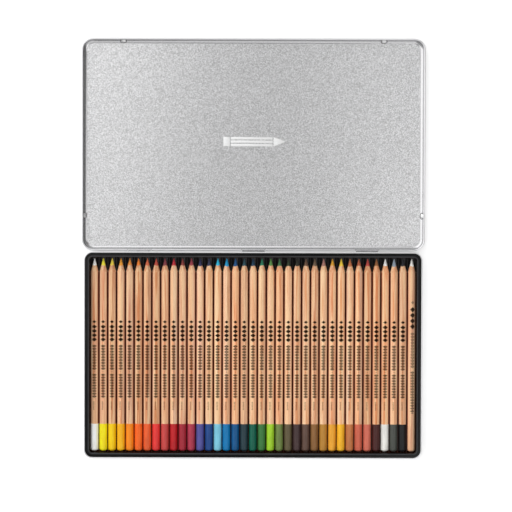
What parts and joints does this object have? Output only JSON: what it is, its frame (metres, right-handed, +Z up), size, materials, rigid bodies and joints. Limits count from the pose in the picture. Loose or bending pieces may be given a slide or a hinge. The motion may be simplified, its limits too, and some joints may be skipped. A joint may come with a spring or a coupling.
{
  "type": "colored pencil tin",
  "caption": "Flat hinged metal tin, open, with a black moulded tray of sharpened coloured pencils lying side by side in grooves.",
  "frame": {"origin": "middle of the base's flat underside", "axes": "+X to the right along the hinge line, +Y from the base's front towards the hinge and the open lid, +Z up"},
  "size_m": [0.3108, 0.38, 0.0122],
  "materials": {
    "tinplate": "satin tinplate with a fine frosted grain",
    "pin_wire": "drawn steel wire",
    "tray_plastic": "black moulded plastic, slightly glossy",
    "cedar_white": "natural cedar, its end dipped in white gloss lacquer, with a white lead",
    "cedar_lemon": "natural cedar, its end dipped in lemon gloss lacquer, with a lemon lead",
    "cedar_golden_yellow": "natural cedar, its end dipped in golden yellow gloss lacquer, with a golden yellow lead",
    "cedar_amber": "natural cedar, its end dipped in amber gloss lacquer, with a amber lead",
    "cedar_orange": "natural cedar, its end dipped in orange gloss lacquer, with a orange lead",
    "cedar_red_orange": "natural cedar, its end dipped in red orange gloss lacquer, with a red orange lead",
    "cedar_vermilion": "natural cedar, its end dipped in vermilion gloss lacquer, with a vermilion lead",
    "cedar_light_red": "natural cedar, its end dipped in light red gloss lacquer, with a light red lead",
    "cedar_muted_red": "natural cedar, its end dipped in muted red gloss lacquer, with a muted red lead",
    "cedar_deep_red": "natural cedar, its end dipped in deep red gloss lacquer, with a deep red lead",
    "cedar_dark_red": "natural cedar, its end dipped in dark red gloss lacquer, with a dark red lead",
    "cedar_crimson": "natural cedar, its end dipped in crimson gloss lacquer, with a crimson lead",
    "cedar_violet_blue": "natural cedar, its end dipped in violet blue gloss lacquer, with a violet blue lead",
    "cedar_dark_blue": "natural cedar, its end dipped in dark blue gloss lacquer, with a dark blue lead",
    "cedar_pale_cyan": "natural cedar, its end dipped in pale cyan gloss lacquer, with a pale cyan lead",
    "cedar_cerulean": "natural cedar, its end dipped in cerulean gloss lacquer, with a cerulean lead",
    "cedar_blue": "natural cedar, its end dipped in blue gloss lacquer, with a blue lead",
    "cedar_slate": "natural cedar, its end dipped in slate gloss lacquer, with a slate lead",
    "cedar_teal_green": "natural cedar, its end dipped in teal green gloss lacquer, with a teal green lead",
    "cedar_green": "natural cedar, its end dipped in green gloss lacquer, with a green lead",
    "cedar_lime": "natural cedar, its end dipped in lime gloss lacquer, with a lime lead",
    "cedar_olive_green": "natural cedar, its end dipped in olive green gloss lacquer, with a olive green lead",
    "cedar_olive_brown": "natural cedar, its end dipped in olive brown gloss lacquer, with a olive brown lead",
    "cedar_violet_brown": "natural cedar, its end dipped in violet brown gloss lacquer, with a violet brown lead",
    "cedar_grey_brown": "natural cedar, its end dipped in grey brown gloss lacquer, with a grey brown lead",
    "cedar_bronze": "natural cedar, its end dipped in bronze gloss lacquer, with a bronze lead",
    "cedar_ochre": "natural cedar, its end dipped in ochre gloss lacquer, with a ochre lead",
    "cedar_honey": "natural cedar, its end dipped in honey gloss lacquer, with a honey lead",
    "cedar_yellow_ochre": "natural cedar, its end dipped in yellow ochre gloss lacquer, with a yellow ochre lead",
    "cedar_terracotta": "natural cedar, its end dipped in terracotta gloss lacquer, with a terracotta lead",
    "cedar_rust": "natural cedar, its end dipped in rust gloss lacquer, with a rust lead",
    "cedar_salmon": "natural cedar, its end dipped in salmon gloss lacquer, with a salmon lead",
    "cedar_maroon": "natural cedar, its end dipped in maroon gloss lacquer, with a maroon lead",
    "cedar_silver_grey": "natural cedar, its end dipped in silver grey gloss lacquer, with a silver grey lead",
    "cedar_dark_grey": "natural cedar, its end dipped in dark grey gloss lacquer, with a dark grey lead",
    "cedar_black": "natural cedar, its end dipped in black gloss lacquer, with a black lead",
    "cedar_plain": "natural cedar without lacquer, with an uncoloured wax core"
  },
  "bodies": {
    "base": {"base_shell": "tinplate"},
    "lid": {"lid_shell": "tinplate", "hinge_pin_left": "pin_wire", "hinge_pin_middle": "pin_wire", "hinge_pin_right": "pin_wire"},
    "tray": {"pencil_tray": "tray_plastic"},
    "body_pencil_01_white": {"pencil_01_white": "cedar_white"},
    "body_pencil_02_lemon": {"pencil_02_lemon": "cedar_lemon"},
    "body_pencil_03_golden_yellow": {"pencil_03_golden_yellow": "cedar_golden_yellow"},
    "body_pencil_04_amber": {"pencil_04_amber": "cedar_amber"},
    "body_pencil_05_orange": {"pencil_05_orange": "cedar_orange"},
    "body_pencil_06_red_orange": {"pencil_06_red_orange": "cedar_red_orange"},
    "body_pencil_07_vermilion": {"pencil_07_vermilion": "cedar_vermilion"},
    "body_pencil_08_light_red": {"pencil_08_light_red": "cedar_light_red"},
    "body_pencil_09_muted_red": {"pencil_09_muted_red": "cedar_muted_red"},
    "body_pencil_10_deep_red": {"pencil_10_deep_red": "cedar_deep_red"},
    "body_pencil_11_dark_red": {"pencil_11_dark_red": "cedar_dark_red"},
    "body_pencil_12_crimson": {"pencil_12_crimson": "cedar_crimson"},
    "body_pencil_13_violet_blue": {"pencil_13_violet_blue": "cedar_violet_blue"},
    "body_pencil_14_dark_blue": {"pencil_14_dark_blue": "cedar_dark_blue"},
    "body_pencil_15_pale_cyan": {"pencil_15_pale_cyan": "cedar_pale_cyan"},
    "body_pencil_16_cerulean": {"pencil_16_cerulean": "cedar_cerulean"},
    "body_pencil_17_blue": {"pencil_17_blue": "cedar_blue"},
    "body_pencil_18_slate": {"pencil_18_slate": "cedar_slate"},
    "body_pencil_19_teal_green": {"pencil_19_teal_green": "cedar_teal_green"},
    "body_pencil_20_green": {"pencil_20_green": "cedar_green"},
    "body_pencil_21_lime": {"pencil_21_lime": "cedar_lime"},
    "body_pencil_22_olive_green": {"pencil_22_olive_green": "cedar_olive_green"},
    "body_pencil_23_olive_brown": {"pencil_23_olive_brown": "cedar_olive_brown"},
    "body_pencil_24_violet_brown": {"pencil_24_violet_brown": "cedar_violet_brown"},
    "body_pencil_25_grey_brown": {"pencil_25_grey_brown": "cedar_grey_brown"},
    "body_pencil_26_bronze": {"pencil_26_bronze": "cedar_bronze"},
    "body_pencil_27_ochre": {"pencil_27_ochre": "cedar_ochre"},
    "body_pencil_28_honey": {"pencil_28_honey": "cedar_honey"},
    "body_pencil_29_yellow_ochre": {"pencil_29_yellow_ochre": "cedar_yellow_ochre"},
    "body_pencil_30_terracotta": {"pencil_30_terracotta": "cedar_terracotta"},
    "body_pencil_31_rust": {"pencil_31_rust": "cedar_rust"},
    "body_pencil_32_salmon": {"pencil_32_salmon": "cedar_salmon"},
    "body_pencil_33_maroon": {"pencil_33_maroon": "cedar_maroon"},
    "body_pencil_34_silver_grey": {"pencil_34_silver_grey": "cedar_silver_grey"},
    "body_pencil_35_dark_grey": {"pencil_35_dark_grey": "cedar_dark_grey"},
    "body_pencil_36_black": {"pencil_36_black": "cedar_black"},
    "body_pencil_blending": {"pencil_blending": "cedar_plain"}
  },
  "joints": [
    {"name": "lid_hinge", "type": "hinge", "parent": "base", "child": "lid", "pos_m": [0, 0.0952, 0.007], "axis": [-1, 0, 0], "range_deg": [-180, 0]},
    {"name": "tray_lift", "type": "slide", "parent": "base", "child": "tray", "axis": [0, 0, 1], "range_m": [0, 0.03]},
    {"name": "lift_pencil_01_white", "type": "slide", "parent": "tray", "child": "body_pencil_01_white", "axis": [0, 0, 1], "range_m": [0, 0.02]},
    {"name": "lift_pencil_02_lemon", "type": "slide", "parent": "tray", "child": "body_pencil_02_lemon", "axis": [0, 0, 1], "range_m": [0, 0.02]},
    {"name": "lift_pencil_03_golden_yellow", "type": "slide", "parent": "tray", "child": "body_pencil_03_golden_yellow", "axis": [0, 0, 1], "range_m": [0, 0.02]},
    {"name": "lift_pencil_04_amber", "type": "slide", "parent": "tray", "child": "body_pencil_04_amber", "axis": [0, 0, 1], "range_m": [0, 0.02]},
    {"name": "lift_pencil_05_orange", "type": "slide", "parent": "tray", "child": "body_pencil_05_orange", "axis": [0, 0, 1], "range_m": [0, 0.02]},
    {"name": "lift_pencil_06_red_orange", "type": "slide", "parent": "tray", "child": "body_pencil_06_red_orange", "axis": [0, 0, 1], "range_m": [0, 0.02]},
    {"name": "lift_pencil_07_vermilion", "type": "slide", "parent": "tray", "child": "body_pencil_07_vermilion", "axis": [0, 0, 1], "range_m": [0, 0.02]},
    {"name": "lift_pencil_08_light_red", "type": "slide", "parent": "tray", "child": "body_pencil_08_light_red", "axis": [0, 0, 1], "range_m": [0, 0.02]},
    {"name": "lift_pencil_09_muted_red", "type": "slide", "parent": "tray", "child": "body_pencil_09_muted_red", "axis": [0, 0, 1], "range_m": [0, 0.02]},
    {"name": "lift_pencil_10_deep_red", "type": "slide", "parent": "tray", "child": "body_pencil_10_deep_red", "axis": [0, 0, 1], "range_m": [0, 0.02]},
    {"name": "lift_pencil_11_dark_red", "type": "slide", "parent": "tray", "child": "body_pencil_11_dark_red", "axis": [0, 0, 1], "range_m": [0, 0.02]},
    {"name": "lift_pencil_12_crimson", "type": "slide", "parent": "tray", "child": "body_pencil_12_crimson", "axis": [0, 0, 1], "range_m": [0, 0.02]},
    {"name": "lift_pencil_13_violet_blue", "type": "slide", "parent": "tray", "child": "body_pencil_13_violet_blue", "axis": [0, 0, 1], "range_m": [0, 0.02]},
    {"name": "lift_pencil_14_dark_blue", "type": "slide", "parent": "tray", "child": "body_pencil_14_dark_blue", "axis": [0, 0, 1], "range_m": [0, 0.02]},
    {"name": "lift_pencil_15_pale_cyan", "type": "slide", "parent": "tray", "child": "body_pencil_15_pale_cyan", "axis": [0, 0, 1], "range_m": [0, 0.02]},
    {"name": "lift_pencil_16_cerulean", "type": "slide", "parent": "tray", "child": "body_pencil_16_cerulean", "axis": [0, 0, 1], "range_m": [0, 0.02]},
    {"name": "lift_pencil_17_blue", "type": "slide", "parent": "tray", "child": "body_pencil_17_blue", "axis": [0, 0, 1], "range_m": [0, 0.02]},
    {"name": "lift_pencil_18_slate", "type": "slide", "parent": "tray", "child": "body_pencil_18_slate", "axis": [0, 0, 1], "range_m": [0, 0.02]},
    {"name": "lift_pencil_19_teal_green", "type": "slide", "parent": "tray", "child": "body_pencil_19_teal_green", "axis": [0, 0, 1], "range_m": [0, 0.02]},
    {"name": "lift_pencil_20_green", "type": "slide", "parent": "tray", "child": "body_pencil_20_green", "axis": [0, 0, 1], "range_m": [0, 0.02]},
    {"name": "lift_pencil_21_lime", "type": "slide", "parent": "tray", "child": "body_pencil_21_lime", "axis": [0, 0, 1], "range_m": [0, 0.02]},
    {"name": "lift_pencil_22_olive_green", "type": "slide", "parent": "tray", "child": "body_pencil_22_olive_green", "axis": [0, 0, 1], "range_m": [0, 0.02]},
    {"name": "lift_pencil_23_olive_brown", "type": "slide", "parent": "tray", "child": "body_pencil_23_olive_brown", "axis": [0, 0, 1], "range_m": [0, 0.02]},
    {"name": "lift_pencil_24_violet_brown", "type": "slide", "parent": "tray", "child": "body_pencil_24_violet_brown", "axis": [0, 0, 1], "range_m": [0, 0.02]},
    {"name": "lift_pencil_25_grey_brown", "type": "slide", "parent": "tray", "child": "body_pencil_25_grey_brown", "axis": [0, 0, 1], "range_m": [0, 0.02]},
    {"name": "lift_pencil_26_bronze", "type": "slide", "parent": "tray", "child": "body_pencil_26_bronze", "axis": [0, 0, 1], "range_m": [0, 0.02]},
    {"name": "lift_pencil_27_ochre", "type": "slide", "parent": "tray", "child": "body_pencil_27_ochre", "axis": [0, 0, 1], "range_m": [0, 0.02]},
    {"name": "lift_pencil_28_honey", "type": "slide", "parent": "tray", "child": "body_pencil_28_honey", "axis": [0, 0, 1], "range_m": [0, 0.02]},
    {"name": "lift_pencil_29_yellow_ochre", "type": "slide", "parent": "tray", "child": "body_pencil_29_yellow_ochre", "axis": [0, 0, 1], "range_m": [0, 0.02]},
    {"name": "lift_pencil_30_terracotta", "type": "slide", "parent": "tray", "child": "body_pencil_30_terracotta", "axis": [0, 0, 1], "range_m": [0, 0.02]},
    {"name": "lift_pencil_31_rust", "type": "slide", "parent": "tray", "child": "body_pencil_31_rust", "axis": [0, 0, 1], "range_m": [0, 0.02]},
    {"name": "lift_pencil_32_salmon", "type": "slide", "parent": "tray", "child": "body_pencil_32_salmon", "axis": [0, 0, 1], "range_m": [0, 0.02]},
    {"name": "lift_pencil_33_maroon", "type": "slide", "parent": "tray", "child": "body_pencil_33_maroon", "axis": [0, 0, 1], "range_m": [0, 0.02]},
    {"name": "lift_pencil_34_silver_grey", "type": "slide", "parent": "tray", "child": "body_pencil_34_silver_grey", "axis": [0, 0, 1], "range_m": [0, 0.02]},
    {"name": "lift_pencil_35_dark_grey", "type": "slide", "parent": "tray", "child": "body_pencil_35_dark_grey", "axis": [0, 0, 1], "range_m": [0, 0.02]},
    {"name": "lift_pencil_36_black", "type": "slide", "parent": "tray", "child": "body_pencil_36_black", "axis": [0, 0, 1], "range_m": [0, 0.02]},
    {"name": "lift_pencil_blending", "type": "slide", "parent": "tray", "child": "body_pencil_blending", "axis": [0, 0, 1], "range_m": [0, 0.02]}
  ]
}
